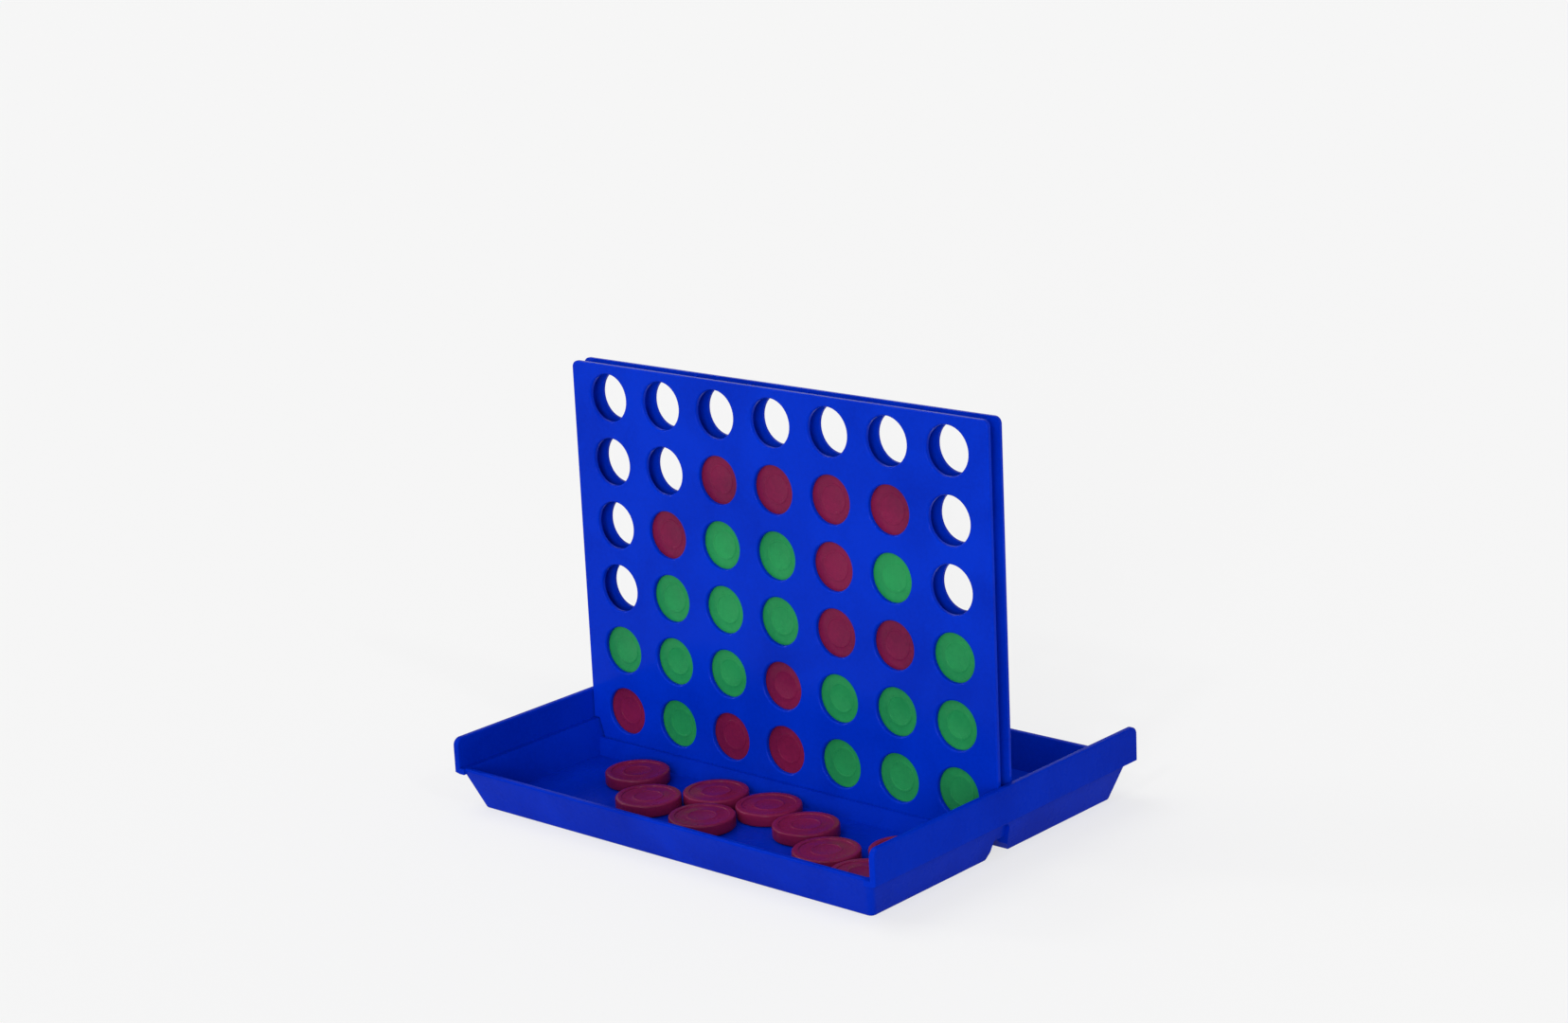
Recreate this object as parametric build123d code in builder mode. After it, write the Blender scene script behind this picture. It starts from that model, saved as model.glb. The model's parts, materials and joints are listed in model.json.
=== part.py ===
"""Pocket four in a row game: a two-panel grid standing in a shallow two-compartment tray.

The grid's panels are held apart by upright dividers, which make seven open channels for
round tokens. The grid stands in two slots along the tray's middle ridge, between tongues
on the end walls. Lifted out of the tray, it drops its tokens into the two compartments.

Frame: X runs along the grid, Y through it, Z is up. The origin is at the middle of the
tray's underside. Lengths are in millimetres.
"""

import os

from build123d import *

# Playing grid
columns = 7
rows = 6
token_diameter = 14.9
token_thickness = 2.8
token_gap = 0.1  # between the tokens of a stack, and under the lowest one
channel_side_clearance = 0.3  # token edge to divider
channel_face_clearance = 0.15  # token face to panel
divider_thickness = 0.8
divider_top_recess = 0.6  # divider ends below the panels' upper edge
panel_thickness = 1.0
panel_overhang = 2.35  # panels past the outer dividers
panel_top_margin = 0.25  # panels above the upper tokens
panel_corner_radius = 1.6
panel_edge_radius = 0.35
hole_diameter = 11.1
hole_edge_radius = 0.4

# Tray
wall_thickness = 1.5
floor_thickness = 2.0
rim_height = 9.9  # long walls, and the shelves inside the end walls
end_wall_height = 16.85
end_flare = 3.05  # how far an end wall leans out, from foot to rim
side_flare = 3.95
tray_corner_radius = 1.4
foot_edge_radius = 0.7
rim_edge_radius = 0.4
step_depth = 1.0  # lower edge of an end wall's upright, below the rim
ledge_drop = 1.3  # foot of the slope under that step, below the rim
end_wall_overhang = 0.3  # end walls past the long walls
end_wall_corner_radius = 1.8
lid_allowance = 0.35  # tray width over the grid laid on it as a lid
grid_end_clearance = 0.25  # grid to end wall
grid_corner_clearance = 0.35  # cut lower corners of the grid to the sloping end walls

# Ridge
ridge_height = 5.7
ridge_lip = 0.9  # ridge outside a slot
ridge_flare = 1.6  # how far a ridge side leans out towards the floor
slot_depth = 1.4
slot_clearance = 0.2  # panel to slot wall
seat_gap = 0.1  # under the grid, and under a token that lies in the tray
root_depth = 0.4  # how deep a rib is rooted in the wall that it stands on
groove_width = 8.6  # under the ridge
groove_top_width = 5.0
groove_height = 2.4
notch_width = 6.2  # end of the groove, through an end wall; it flares below this height
notch_flare_height = 0.9
notch_neck_width = 4.4
notch_neck_height = 6.3
notch_top_width = 2.4
notch_height = 7.3
notch_reach = 2.0  # into the ridge's end
notch_skin = 0.6  # closes a notch towards the grid

# Tongues on the end walls
tongue_clearance = 0.2  # to each panel
tongue_end_clearance = 0.25  # to the outer divider
tongue_top_gap = 1.0  # below the end wall's top
tongue_slope = 1.5  # lead-in at a tongue's top

# Tokens
token_rim_width = 1.4
token_edge_radius = 0.4
token_recess = 0.2
token_ring_radius = 3.0
token_ring_width = 0.45
token_ring_height = 0.08

# Tokens in the channels, from the lowest up
column_colours = [
    ["red", "green"],
    ["green", "green", "green", "red"],
    ["red", "green", "green", "green", "red"],
    ["red", "red", "green", "green", "red"],
    ["green", "green", "red", "red", "red"],
    ["green", "green", "red", "green", "red"],
    ["green", "green", "green"],
]

# Middles of the tokens that lie in the tray, in token diameters
front_tokens = [
    (-2.38, -0.92),
    (-1.47, -1.64),
    (-0.76, -0.91),
    (-0.23, -1.80),
    (0.29, -0.90),
    (1.28, -1.21),
    (2.19, -1.82),
    (3.06, -1.16),
    (3.17, -2.18),
]
back_tokens = [(-2.08, 1.14), (-0.91, 1.85), (0.60, 1.04), (1.98, 1.68)]

# Grid sizes that follow from these
column_pitch = token_diameter + 2 * channel_side_clearance + divider_thickness
row_pitch = token_diameter + token_gap
channel_depth = token_thickness + 2 * channel_face_clearance
grid_width = columns * column_pitch + divider_thickness + 2 * panel_overhang
grid_bottom = ridge_height - slot_depth + seat_gap
lowest_row = ridge_height + token_gap + token_diameter / 2
middle_row = lowest_row + (rows - 1) * row_pitch / 2
grid_top = lowest_row + (rows - 1) * row_pitch + token_diameter / 2 + panel_top_margin
shoulder_height = rim_height + seat_gap

# Tray sizes that follow from these
rim_length = grid_width + 2 * grid_end_clearance
tray_length = rim_length + 2 * wall_thickness
tray_width = grid_top - grid_bottom + lid_allowance
rim_width = tray_width - 2 * end_wall_overhang
slot_inner_edge = channel_depth / 2 - slot_clearance
slot_outer_edge = channel_depth / 2 + panel_thickness + slot_clearance
ridge_top_half = slot_outer_edge + ridge_lip
tongue_tip = grid_width / 2 - panel_overhang + tongue_end_clearance
tongue_top = end_wall_height - tongue_top_gap


def outer_half_length(height):
    """Half the tray's length at a height up to the rim, outside its end walls."""
    return rim_length / 2 - end_flare * (1 - height / rim_height)


def outer_half_width(height):
    """Half the tray's width at a height up to the rim, outside its long walls."""
    return rim_width / 2 - side_flare * (1 - height / rim_height)


def inner_half_length(height):
    """Half the length of the space between the end walls at a height."""
    return outer_half_length(height) - wall_thickness


def inner_half_width(height):
    """Half the width of the space between the long walls at a height."""
    return outer_half_width(height) - wall_thickness


# Height at which the sloping end walls have cleared the tongues' tips
tongue_foot = rim_height * (1 - (inner_half_length(rim_height) - tongue_tip) / end_flare)

# Space inside the tray: two compartments, with the ridge left standing between them
with BuildPart() as compartments:
    for height in (floor_thickness, rim_height):
        with BuildSketch(Plane.XY.offset(height)):
            RectangleRounded(
                2 * inner_half_length(height),
                2 * inner_half_width(height),
                tray_corner_radius - wall_thickness / 2,
            )
    loft()
    with BuildSketch(Plane.YZ):
        with BuildLine():
            Polyline(
                (ridge_top_half + ridge_flare, floor_thickness - root_depth),
                (ridge_top_half, ridge_height),
                (-ridge_top_half, ridge_height),
                (-ridge_top_half - ridge_flare, floor_thickness - root_depth),
                close=True,
            )
        make_face()
    extrude(amount=tray_length / 2, both=True, mode=Mode.SUBTRACT)

# Tray: one moulding, with end walls that step out above the rim
with BuildPart() as base:
    for height in (0, rim_height):
        with BuildSketch(Plane.XY.offset(height)):
            RectangleRounded(
                2 * outer_half_length(height),
                2 * outer_half_width(height),
                tray_corner_radius,
            )
    loft()
    fillet(base.edges().group_by(Axis.Z)[0], radius=foot_edge_radius)
    add(compartments.part, mode=Mode.SUBTRACT)

    # Long walls' rounded rim
    long_rims = base.edges().filter_by(Axis.X).filter_by(
        lambda edge: abs(edge.center().Z - rim_height) < seat_gap
    )
    fillet(long_rims, radius=rim_edge_radius)

    # End walls: a shelf at rim height, and an upright outside it
    with BuildSketch(Plane.XZ) as end_wall_section:
        with BuildLine():
            Polyline(
                (inner_half_length(rim_height), rim_height),
                (rim_length / 2, rim_height),
                (rim_length / 2, end_wall_height),
                (tray_length / 2, end_wall_height),
                (tray_length / 2, rim_height - step_depth),
                (outer_half_length(rim_height), rim_height - ledge_drop),
                (inner_half_length(rim_height), rim_height - ledge_drop),
                close=True,
            )
        make_face()
        mirror(about=Plane.YZ)
    extrude(amount=tray_width / 2, both=True)
    end_faces = base.faces().group_by(Axis.Y)[0] + base.faces().group_by(Axis.Y)[-1]
    top_corners = end_faces.edges().filter_by(Axis.X).group_by(Axis.Z)[-1]
    fillet(top_corners, radius=end_wall_corner_radius)
    top_edges = base.faces().filter_by(Axis.Z).sort_by(Axis.Z)[-2:].edges().filter_by(Axis.Y)
    fillet(top_edges, radius=rim_edge_radius)

    # Groove under the ridge, which opens into a taller notch in each end wall
    with BuildSketch(Plane.YZ):
        with BuildLine():
            Polyline(
                (groove_width / 2, 0),
                (groove_top_width / 2, groove_height),
                (-groove_top_width / 2, groove_height),
                (-groove_width / 2, 0),
                close=True,
            )
        make_face()
    extrude(amount=tray_length / 2, both=True, mode=Mode.SUBTRACT)
    for end in (-1, 1):
        with BuildSketch(Plane.YZ.offset(end * (inner_half_length(ridge_height) - notch_reach))):
            with BuildLine():
                Polyline(
                    (0, 0),
                    (groove_width / 2, 0),
                    (notch_width / 2, notch_flare_height),
                    (notch_neck_width / 2, notch_neck_height),
                    (notch_top_width / 2, notch_height),
                    (0, notch_height),
                    close=True,
                )
            make_face()
            mirror(about=Plane.YZ)
        extrude(amount=end * tray_length / 2, mode=Mode.SUBTRACT)

    # Skin that closes each notch towards the grid: a web in the end wall and a roof in the ridge
    skin_foot = ridge_height - slot_depth - notch_skin
    skin_top = notch_height + root_depth
    with BuildSketch(Plane.XZ):
        with BuildLine():
            Polyline(
                (inner_half_length(ridge_height) - notch_reach - root_depth, skin_foot),
                (inner_half_length(skin_foot) + notch_skin, skin_foot),
                (inner_half_length(skin_top) + notch_skin, skin_top),
                (inner_half_length(skin_top), skin_top),
                (inner_half_length(ridge_height), ridge_height),
                (inner_half_length(ridge_height) - notch_reach - root_depth, ridge_height),
                close=True,
            )
        make_face()
        mirror(about=Plane.YZ)
    extrude(amount=notch_width / 2, both=True)

    # Slots for the panels' lower edges
    with BuildSketch(Plane.YZ):
        for side in (-1, 1):
            with Locations((side * (slot_inner_edge + slot_outer_edge) / 2, ridge_height)):
                Rectangle(slot_outer_edge - slot_inner_edge, 2 * slot_depth)
    extrude(amount=inner_half_length(ridge_height), both=True, mode=Mode.SUBTRACT)

    # Tongues that stand in the grooves between the panels' side edges
    with BuildSketch(Plane.XZ):
        with BuildLine():
            Polyline(
                (tongue_tip, tongue_foot),
                (inner_half_length(tongue_foot) + root_depth, tongue_foot),
                (inner_half_length(rim_height) + root_depth, rim_height - root_depth),
                (rim_length / 2 + root_depth, rim_height - root_depth),
                (rim_length / 2 + root_depth, tongue_top),
                (tongue_tip, tongue_top - tongue_slope),
                close=True,
            )
        make_face()
        mirror(about=Plane.YZ)
    extrude(amount=channel_depth / 2 - tongue_clearance, both=True)


def panel(side):
    """One panel of the grid: a flat plate with a round window for every place.

    side is -1 for the front panel and 1 for the back one.
    """
    inside = -side * channel_depth / 2
    foot = inner_half_length(grid_bottom) - grid_corner_clearance
    knee = inner_half_length(rim_height) - grid_corner_clearance
    with BuildPart() as plate:
        with BuildSketch(Plane.XZ.offset(inside)):
            with BuildLine():
                Polyline(
                    (foot, grid_bottom),
                    (knee, shoulder_height),
                    (grid_width / 2, shoulder_height),
                    (grid_width / 2, grid_top),
                    (0, grid_top),
                    (0, grid_bottom),
                    close=True,
                )
            make_face()
            mirror(about=Plane.YZ)
        extrude(amount=-side * panel_thickness)
        upper_corners = plate.edges().filter_by(Axis.Y).group_by(Axis.Z)[-1]
        fillet(upper_corners, radius=panel_corner_radius)
        outside = plate.faces().filter_by(Axis.Y).sort_by(Axis.Y)[0 if side < 0 else -1]
        fillet(outside.outer_wire().edges(), radius=panel_edge_radius)
        with BuildSketch(Plane.XZ.offset(inside)):
            with Locations((0, middle_row)):
                with GridLocations(column_pitch, row_pitch, columns, rows):
                    Circle(hole_diameter / 2)
        extrude(amount=-side * panel_thickness, mode=Mode.SUBTRACT)
        outside = plate.faces().filter_by(Axis.Y).sort_by(Axis.Y)[0 if side < 0 else -1]
        fillet(outside.inner_wires().edges(), radius=hole_edge_radius)
    return plate


front_panel = panel(-1)
back_panel = panel(1)

# Dividers: upright strips that hold the panels apart and guide the tokens
with BuildPart() as column_dividers:
    with BuildSketch(Plane.XY.offset(shoulder_height)):
        with GridLocations(column_pitch, channel_depth, columns + 1, 1):
            Rectangle(divider_thickness, channel_depth)
    extrude(amount=grid_top - divider_top_recess - shoulder_height)


def token(middle):
    """One token: a disc with a raised rim and a thin ring on both faces."""
    ring = token_ring_radius + token_ring_width
    with BuildPart() as disc:
        with BuildSketch(middle.offset(-token_thickness / 2)):
            Circle(token_diameter / 2)
        extrude(amount=token_thickness)
        fillet(disc.edges(), radius=token_edge_radius)
        for face in (-1, 1):
            with BuildSketch(middle.offset(face * (token_thickness / 2 - token_recess))):
                Circle(token_diameter / 2 - token_rim_width)
            extrude(amount=face * token_recess, mode=Mode.SUBTRACT)
            with BuildSketch(middle.offset(face * (token_thickness / 2 - token_recess))):
                Circle(ring)
                Circle(token_ring_radius, mode=Mode.SUBTRACT)
            extrude(amount=face * token_ring_height)
    return disc


def write(piece, name):
    """Label a finished piece and write it as one file."""
    piece.part.label = name
    export_step(piece.part, f"parts/{name}.step")


os.makedirs("parts", exist_ok=True)
write(base, "base_tray")
write(front_panel, "front_panel")
write(back_panel, "back_panel")
write(column_dividers, "column_dividers")

# Tokens that stand in the channels
for column, colours in enumerate(column_colours):
    across = (column - (columns - 1) / 2) * column_pitch
    for row, colour in enumerate(colours):
        middle = Plane((across, 0, lowest_row + row * row_pitch), x_dir=(1, 0, 0), z_dir=(0, -1, 0))
        write(token(middle), f"{colour}_token_column_{column + 1}_row_{row + 1}")

# Tokens that lie flat in the tray
lying_height = floor_thickness + seat_gap + token_thickness / 2
for name, middles in (("red_token_tray", front_tokens), ("green_token_tray", back_tokens)):
    for number, (along, through) in enumerate(middles):
        middle = Plane((along * token_diameter, through * token_diameter, lying_height))
        write(token(middle), f"{name}_{number + 1}")
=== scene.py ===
"""Looks of the pocket four in a row game: a blue grid standing in its tray, with red and green tokens.

Everything is in metres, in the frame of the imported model: X along the grid, Y through it, Z up.
"""

import json
import math
import random

import bmesh
import bpy
from mathutils import Matrix, Quaternion, Vector


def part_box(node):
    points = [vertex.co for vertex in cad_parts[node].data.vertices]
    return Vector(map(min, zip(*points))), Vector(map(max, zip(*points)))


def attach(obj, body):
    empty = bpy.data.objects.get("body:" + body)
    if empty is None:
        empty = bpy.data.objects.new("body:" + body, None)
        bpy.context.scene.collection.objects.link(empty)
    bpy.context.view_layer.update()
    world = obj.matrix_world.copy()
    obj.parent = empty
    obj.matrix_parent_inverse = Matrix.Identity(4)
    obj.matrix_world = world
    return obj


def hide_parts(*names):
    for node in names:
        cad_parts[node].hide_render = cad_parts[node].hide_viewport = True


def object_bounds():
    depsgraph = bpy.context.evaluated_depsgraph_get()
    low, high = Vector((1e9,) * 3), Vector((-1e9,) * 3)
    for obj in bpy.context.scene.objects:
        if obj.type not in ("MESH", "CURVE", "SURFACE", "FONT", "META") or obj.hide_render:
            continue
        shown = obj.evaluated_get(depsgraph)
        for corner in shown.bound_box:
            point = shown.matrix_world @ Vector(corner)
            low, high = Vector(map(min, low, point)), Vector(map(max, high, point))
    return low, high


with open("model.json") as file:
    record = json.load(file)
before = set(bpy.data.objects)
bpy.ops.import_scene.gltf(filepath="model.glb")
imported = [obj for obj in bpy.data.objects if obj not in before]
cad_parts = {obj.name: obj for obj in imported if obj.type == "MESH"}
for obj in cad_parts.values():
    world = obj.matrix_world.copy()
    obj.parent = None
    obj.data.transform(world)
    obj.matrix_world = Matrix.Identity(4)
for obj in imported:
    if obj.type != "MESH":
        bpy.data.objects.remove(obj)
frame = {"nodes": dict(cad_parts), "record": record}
cad_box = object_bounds()

scene = bpy.context.scene
scene.view_settings.view_transform = "Standard"

# ---------------------------------------------------------------------------------------------
# Camera. A long lens looks down a little on the game from its front right corner, with the game
# in the lower half of the frame. It is tipped slightly about its line of sight.
# ---------------------------------------------------------------------------------------------
CAMERA_LENS = 70.77
CAMERA_SENSOR = 36.0
CAMERA_AZIMUTH = math.radians(41.76)
CAMERA_ELEVATION = math.radians(14.81)
CAMERA_ROLL = math.radians(-2.68)
CAMERA_DISTANCE = 0.681
CAMERA_AIM_OFFSET = Vector((-0.0027, 0.0040, 0.0186))

low, high = (Vector(corner) for corner in cad_box)
aim = (low + high) / 2 + CAMERA_AIM_OFFSET
away = Vector((
    math.sin(CAMERA_AZIMUTH) * math.cos(CAMERA_ELEVATION),
    -math.cos(CAMERA_AZIMUTH) * math.cos(CAMERA_ELEVATION),
    math.sin(CAMERA_ELEVATION),
))
camera_data = bpy.data.cameras.new("camera")
camera_data.lens = CAMERA_LENS
camera_data.sensor_width = CAMERA_SENSOR
camera_data.clip_start = 0.01
camera_data.clip_end = 50
camera = bpy.data.objects.new("camera", camera_data)
camera.rotation_mode = "QUATERNION"
camera.rotation_quaternion = (-away).to_track_quat("-Z", "Y") @ Quaternion((0, 0, 1), CAMERA_ROLL)
camera.location = aim + away * CAMERA_DISTANCE
scene.collection.objects.link(camera)
scene.camera = camera


# ---------------------------------------------------------------------------------------------
# Floor and surround. A matt pale table top that runs out of view on every side, under an even
# pale surround. Both look near white in the view, and the table keeps the game's shadow.
# ---------------------------------------------------------------------------------------------
FLOOR_COLOUR = "#EEEDEA"
FLOOR_HALF_WIDTH = 12.0
FLOOR_WHITENING = 0.68  # share of plain white in what the view shows of the table
SURROUND_COLOUR = "#F2F4FA"
SURROUND_STRENGTH = 0.45


def linear(colour):
    """A colour written as #RRGGBB in sRGB, as the linear RGBA that shaders take."""
    channels = [int(colour[i:i + 2], 16) / 255 for i in (1, 3, 5)]
    return [c / 12.92 if c <= 0.04045 else ((c + 0.055) / 1.055) ** 2.4 for c in channels] + [1.0]


def add(tree, kind, inputs=(), **settings):
    """Add a node: its settings are attributes, its inputs are values or another node's outputs."""
    node = tree.nodes.new(kind)
    for name, value in settings.items():
        setattr(node, name, value)
    for name, value in dict(inputs).items():
        if isinstance(value, bpy.types.NodeSocket):
            tree.links.new(value, node.inputs[name])
        else:
            node.inputs[name].default_value = value
    return node


def in_view(tree):
    """1 for the rays that show the backdrop: straight, mirrored or seen through something clear."""
    path = add(tree, "ShaderNodeLightPath").outputs
    mirrored = add(tree, "ShaderNodeMath", {
        0: path["Is Camera Ray"], 1: path["Is Glossy Ray"],
    }, operation="MAXIMUM")
    return add(tree, "ShaderNodeMath", {
        0: mirrored.outputs[0], 1: path["Is Transmission Ray"],
    }, operation="MAXIMUM").outputs[0]


floor_material = bpy.data.materials.new("matt_pale_table_top")
floor_material.use_nodes = True
tree = floor_material.node_tree
tree.nodes.clear()
floor_shader = add(tree, "ShaderNodeBsdfPrincipled", {
    "Base Color": linear(FLOOR_COLOUR), "Roughness": 0.9, "Specular IOR Level": 0.1,
})
white = add(tree, "ShaderNodeEmission", {"Color": (1, 1, 1, 1), "Strength": 1.0})
whitened = add(tree, "ShaderNodeMath", {0: in_view(tree), 1: FLOOR_WHITENING}, operation="MULTIPLY")
table_top = add(tree, "ShaderNodeMixShader", {
    0: whitened.outputs[0], 1: floor_shader.outputs["BSDF"], 2: white.outputs["Emission"],
})
add(tree, "ShaderNodeOutputMaterial", {"Surface": table_top.outputs["Shader"]})

bm = bmesh.new()
bmesh.ops.create_grid(bm, x_segments=1, y_segments=1, size=FLOOR_HALF_WIDTH)
floor_mesh = bpy.data.meshes.new("table_top")
bm.to_mesh(floor_mesh)
bm.free()
floor_mesh.materials.append(floor_material)
floor = bpy.data.objects.new("table_top", floor_mesh)
scene.collection.objects.link(floor)

world = bpy.data.worlds.new("surround")
scene.world = world
world.use_nodes = True
tree = world.node_tree
tree.nodes.clear()
surround = add(tree, "ShaderNodeBackground", {
    "Color": linear(SURROUND_COLOUR), "Strength": SURROUND_STRENGTH,
})
white = add(tree, "ShaderNodeBackground", {"Color": (1, 1, 1, 1), "Strength": 1.0})
backdrop = add(tree, "ShaderNodeMixShader", {
    0: in_view(tree), 1: surround.outputs["Background"], 2: white.outputs["Background"],
})
add(tree, "ShaderNodeOutputWorld", {"Surface": backdrop.outputs["Shader"]})


# ---------------------------------------------------------------------------------------------
# Lamps, all so far away that they light evenly. A wide one stands low on the right of the front,
# and one high on the left lights what lies flat. Three small ones draw the glints on the rims.
# ---------------------------------------------------------------------------------------------
LAMPS = [
    # name, azimuth, elevation, width in degrees as seen from the game, strength
    ("front_right", 32, 13, 28, 1.65),
    ("overhead", -80, 62, 40, 0.75),
    ("front_glint", 14, 36, 4, 0.30),
    ("right_glint", 75, 36, 4, 0.22),
    ("left_glint", -66, 22, 12, 0.4),
]
for name, azimuth, elevation, width, strength in LAMPS:
    azimuth, elevation = math.radians(azimuth), math.radians(elevation)
    toward = Vector((
        math.sin(azimuth) * math.cos(elevation),
        -math.cos(azimuth) * math.cos(elevation),
        math.sin(elevation),
    ))
    lamp_data = bpy.data.lights.new(name, "SUN")
    lamp_data.angle = math.radians(width)
    lamp_data.energy = strength
    lamp = bpy.data.objects.new(name, lamp_data)
    lamp.rotation_mode = "QUATERNION"
    lamp.rotation_quaternion = (-toward).to_track_quat("-Z", "Y")
    lamp.location = toward
    scene.collection.objects.link(lamp)


# ---------------------------------------------------------------------------------------------
# Tray. One injection moulding in blue high-gloss polystyrene: long walls with rounded rims, end
# walls that step out above the rim, and a ridge with the grid's two slots along the middle.
# ---------------------------------------------------------------------------------------------
MM = 0.001
TRAY_BLUE = "#012BB4"
TRAY_BLUE_DEEP = "#0023A2"
TRAY_ROUGHNESS = 0.24
TRAY_GLOSS = 0.012  # Specular IOR Level. Real polystyrene has 0.5: a choice for the look, here and below
POLYSTYRENE_IOR = 1.59
FLOW_WIDTH = 24 * MM  # drift of the colour along the melt's flow
SPECK_WIDTH = 0.8 * MM  # pigment that is not quite evenly mixed
PEEL_WIDTH = 0.9 * MM  # orange peel on the skin
PEEL_HEIGHT = 0.0035 * MM
SINK_WIDTH = 11 * MM  # shallow sinks where the wall cooled unevenly
SINK_HEIGHT = 0.035 * MM
# Real handling scratches are some hundredths of a millimetre wide: these are drawn coarser to show
SCRATCH_WIDTH = 0.16 * MM
SCRATCH_LENGTH = 9 * MM
SCRATCH_DEPTH = 0.004 * MM
SCRATCH_DULLING = 0.12  # added to the roughness
SMUDGE_WIDTH = 7 * MM  # finger marks, which only dull the gloss
SMUDGE_DULLING = 0.09


def scratches(tree, place, turn):
    """Fine straight scratches that lie one way: thin streaks cut from a stretched noise."""
    laid = add(tree, "ShaderNodeMapping", {
        "Vector": place, "Rotation": turn,
        "Scale": (1 / SCRATCH_WIDTH, 1 / SCRATCH_LENGTH, 1 / SCRATCH_LENGTH),
    })
    streaks = add(tree, "ShaderNodeTexNoise", {
        "Vector": laid.outputs["Vector"], "Scale": 1.0, "Detail": 1.0,
    })
    return add(tree, "ShaderNodeMapRange", {
        "Value": streaks.outputs["Fac"], "From Min": 0.7, "From Max": 0.84,
    }).outputs["Result"]


def gloss_moulded_polystyrene(name, colour, deep_colour, roughness, gloss):
    """Gloss moulded polystyrene, opaque and coloured in the mass.

    The eye gets an even colour that drifts a little with the melt's flow, a skin with a faint
    orange peel and shallow sinks, and finger marks and fine scratches that show in the gloss.
    """
    material = bpy.data.materials.new(name)
    material.use_nodes = True
    tree = material.node_tree
    tree.nodes.clear()
    place = add(tree, "ShaderNodeTexCoord").outputs["Object"]

    flow = add(tree, "ShaderNodeTexNoise", {
        "Vector": place, "Scale": 1 / FLOW_WIDTH, "Detail": 3.0, "Distortion": 0.5,
    })
    specks = add(tree, "ShaderNodeTexNoise", {"Vector": place, "Scale": 1 / SPECK_WIDTH, "Detail": 2.0})
    drift = add(tree, "ShaderNodeMapRange", {
        "Value": flow.outputs["Fac"], "From Min": 0.3, "From Max": 0.65,
    })
    speckle = add(tree, "ShaderNodeMapRange", {
        "Value": specks.outputs["Fac"], "From Min": 0.3, "From Max": 0.7, "To Min": -0.2, "To Max": 0.2,
    })
    amount = add(tree, "ShaderNodeMath", {
        0: drift.outputs["Result"], 1: speckle.outputs["Result"],
    }, operation="ADD", use_clamp=True)
    # Sockets 6 and 7 are the mix node's two colours
    tint = add(tree, "ShaderNodeMix", {
        "Factor": amount.outputs[0], 6: linear(deep_colour), 7: linear(colour),
    }, data_type="RGBA")

    smudges = add(tree, "ShaderNodeTexNoise", {
        "Vector": place, "Scale": 1 / SMUDGE_WIDTH, "Detail": 4.0, "Roughness": 0.6,
    })
    one_way = scratches(tree, place, (0.3, 0.2, 0.5))
    other_way = scratches(tree, place, (1.1, 0.7, 1.9))
    scratched = add(tree, "ShaderNodeMath", {0: one_way, 1: other_way}, operation="MAXIMUM")
    dulled = add(tree, "ShaderNodeMapRange", {
        "Value": smudges.outputs["Fac"], "From Min": 0.35, "From Max": 0.7,
        "To Min": roughness, "To Max": roughness + SMUDGE_DULLING,
    })
    rough = add(tree, "ShaderNodeMath", {
        0: scratched.outputs[0], 1: SCRATCH_DULLING, 2: dulled.outputs["Result"],
    }, operation="MULTIPLY_ADD", use_clamp=True)

    peel = add(tree, "ShaderNodeTexNoise", {"Vector": place, "Scale": 1 / PEEL_WIDTH, "Detail": 1.0})
    sinks = add(tree, "ShaderNodeTexNoise", {"Vector": place, "Scale": 1 / SINK_WIDTH, "Detail": 1.0})
    sunk = add(tree, "ShaderNodeBump", {"Distance": SINK_HEIGHT, "Height": sinks.outputs["Fac"]})
    peeled = add(tree, "ShaderNodeBump", {
        "Distance": PEEL_HEIGHT, "Height": peel.outputs["Fac"], "Normal": sunk.outputs["Normal"],
    })
    scored = add(tree, "ShaderNodeBump", {
        "Distance": SCRATCH_DEPTH, "Height": scratched.outputs[0], "Normal": peeled.outputs["Normal"],
    }, invert=True)

    shader = add(tree, "ShaderNodeBsdfPrincipled", {
        "Base Color": tint.outputs[2], "Roughness": rough.outputs[0], "Normal": scored.outputs["Normal"],
        "IOR": POLYSTYRENE_IOR, "Specular IOR Level": gloss,
    })
    add(tree, "ShaderNodeOutputMaterial", {"Surface": shader.outputs["BSDF"]})
    return material, shader


def finish_node(node, material):
    """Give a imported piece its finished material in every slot."""
    for place in range(len(frame["nodes"][node].material_slots)):
        frame["nodes"][node].material_slots[place].material = material


tray_plastic, _ = gloss_moulded_polystyrene(
    "gloss_moulded_polystyrene_tray_blue", TRAY_BLUE, TRAY_BLUE_DEEP, TRAY_ROUGHNESS, TRAY_GLOSS)
finish_node("base_tray", tray_plastic)


# ---------------------------------------------------------------------------------------------
# Grid. Two flat gloss panels with 42 round windows each, held apart by eight upright strips. It
# is moulded in the same blue polystyrene, in a better polished tool than the tray.
# ---------------------------------------------------------------------------------------------
GRID_BLUE = "#012FBE"
GRID_BLUE_DEEP = "#0027AC"
GRID_ROUGHNESS = 0.16
GRID_GLOSS = 0.025

grid_plastic, _ = gloss_moulded_polystyrene(
    "gloss_moulded_polystyrene_grid_blue", GRID_BLUE, GRID_BLUE_DEEP, GRID_ROUGHNESS, GRID_GLOSS)
for node in ("front_panel", "back_panel", "column_dividers"):
    finish_node(node, grid_plastic)


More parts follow.
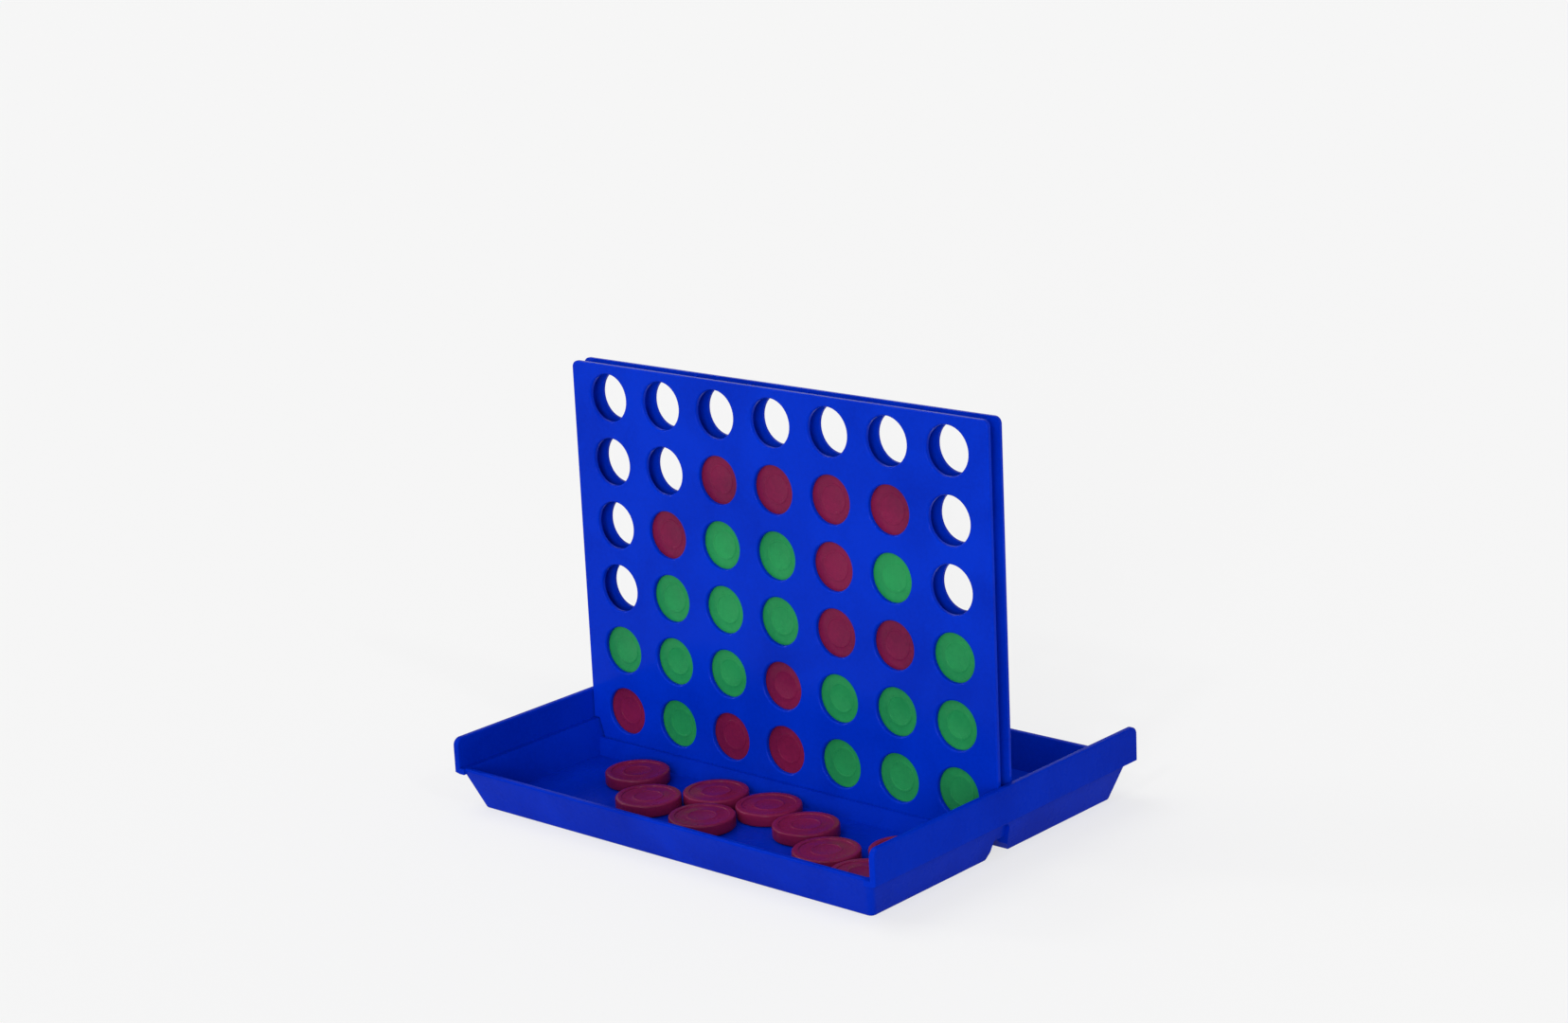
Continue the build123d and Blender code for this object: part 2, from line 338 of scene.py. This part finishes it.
# ---------------------------------------------------------------------------------------------
# Tokens. Small polystyrene discs, red and green, with a raised rim and a raised ring on both
# faces. Each is a moulding of its own: the turning marks of its tool show as fine circles.
# ---------------------------------------------------------------------------------------------
TOKEN_RED = "#7C1A42"
TOKEN_RED_DEEP = "#66143A"
TOKEN_GREEN = "#269150"
TOKEN_GREEN_DEEP = "#1D8148"
TOKEN_ROUGHNESS = 0.22
TOKEN_GLOSS = 0.07
RIM_WIDTH = 1.4 * MM
RIM_DRAFT = 0.08 * MM  # slope of the step inside the rim
RECESS = 0.2 * MM
RING_RADIUS = 3.0 * MM
RING_WIDTH = 0.45 * MM
RING_HEIGHT = 0.08 * MM
OUTER_ROUNDING = 0.4 * MM
STEP_ROUNDING = 0.08 * MM
ROUNDING_SEGMENTS = 3
SHARP_ANGLE = math.radians(30)
TOKEN_STEPS = 96
WELD_DISTANCE = 0.001 * MM
TURNING_PITCH = 0.42 * MM  # coarser than the tool's real marks, so that they show
TURNING_HEIGHT = 0.003 * MM
TURNS_SEED = 4  # each token lies turned its own way

token_plastics = {}
for colour, light, deep in (
    ("red", TOKEN_RED, TOKEN_RED_DEEP),
    ("green", TOKEN_GREEN, TOKEN_GREEN_DEEP),
):
    plastic, shader = gloss_moulded_polystyrene(
        f"gloss_moulded_polystyrene_token_{colour}", light, deep, TOKEN_ROUGHNESS, TOKEN_GLOSS)
    tree = plastic.node_tree
    radius = add(tree, "ShaderNodeAttribute", attribute_name="from_axis", attribute_type="GEOMETRY")
    phase = add(tree, "ShaderNodeMath", {
        0: radius.outputs["Fac"], 1: 2 * math.pi / TURNING_PITCH,
    }, operation="MULTIPLY")
    circles = add(tree, "ShaderNodeMath", {0: phase.outputs[0]}, operation="SINE")
    turned = add(tree, "ShaderNodeBump", {
        "Distance": TURNING_HEIGHT, "Height": circles.outputs[0],
        "Normal": shader.inputs["Normal"].links[0].from_socket,
    })
    tree.links.new(turned.outputs["Normal"], shader.inputs["Normal"])
    token_plastics[colour] = plastic


def token(name, node, colour, turns):
    """A token spun from half its section, with its corners rounded, in place of a packed one."""
    corner_low, corner_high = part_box(node)
    size = corner_high - corner_low
    through = min(range(3), key=lambda axis: size[axis])
    radius, half = max(size) / 2, size[through] / 2
    step = radius - RIM_WIDTH
    upper = [
        (0, half - RECESS),
        (RING_RADIUS, half - RECESS),
        (RING_RADIUS, half - RECESS + RING_HEIGHT),
        (RING_RADIUS + RING_WIDTH, half - RECESS + RING_HEIGHT),
        (RING_RADIUS + RING_WIDTH, half - RECESS),
        (step - RIM_DRAFT, half - RECESS),
        (step, half),
        (radius, half),
    ]
    section = upper + [(across, -up) for across, up in reversed(upper)]

    bm = bmesh.new()
    corners = [bm.verts.new((across, 0, up)) for across, up in section]
    sides = [bm.edges.new(pair) for pair in zip(corners, corners[1:])]
    bmesh.ops.spin(
        bm, geom=corners + sides, axis=(0, 0, 1), cent=(0, 0, 0), dvec=(0, 0, 0),
        angle=2 * math.pi, steps=TOKEN_STEPS, use_merge=True, use_duplicate=False,
    )
    bmesh.ops.remove_doubles(bm, verts=bm.verts, dist=WELD_DISTANCE)
    bmesh.ops.recalc_face_normals(bm, faces=bm.faces)
    within = radius - STEP_ROUNDING
    for rounding, inner, outer in ((OUTER_ROUNDING, within, math.inf), (STEP_ROUNDING, 0, within)):
        sharp = [
            edge for edge in bm.edges
            if len(edge.link_faces) == 2 and edge.calc_face_angle() > SHARP_ANGLE
            and inner < edge.verts[0].co.xy.length < outer
        ]
        bmesh.ops.bevel(
            bm, geom=sharp, offset=rounding, offset_type="OFFSET", segments=ROUNDING_SEGMENTS, profile=0.5,
            affect="EDGES", material=-1, clamp_overlap=True,
        )
    from_axis = bm.verts.layers.float.new("from_axis")
    for vertex in bm.verts:
        vertex[from_axis] = vertex.co.xy.length
    for face in bm.faces:
        face.smooth = True
    turn = Matrix.Rotation(turns.uniform(0, 2 * math.pi), 3, "Z")
    stand = Vector((0, 0, 1)).rotation_difference(Vector([float(axis == through) for axis in range(3)]))
    bmesh.ops.rotate(bm, verts=bm.verts, cent=(0, 0, 0), matrix=stand.to_matrix() @ turn)
    bmesh.ops.translate(bm, verts=bm.verts, vec=(corner_low + corner_high) / 2)
    mesh = bpy.data.meshes.new(name)
    bm.to_mesh(mesh)
    bm.free()
    mesh.materials.append(token_plastics[colour])
    piece = bpy.data.objects.new(name, mesh)
    scene.collection.objects.link(piece)
    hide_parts(node)
    return piece


turns = random.Random(TURNS_SEED)
for body, members in frame["record"]["behaviour"]["bodies"].items():
    for node in members:
        if "_token_" in node:
            colour = node.split("_")[0]
            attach(token(node.replace("token", "disc"), node, colour, turns), body)
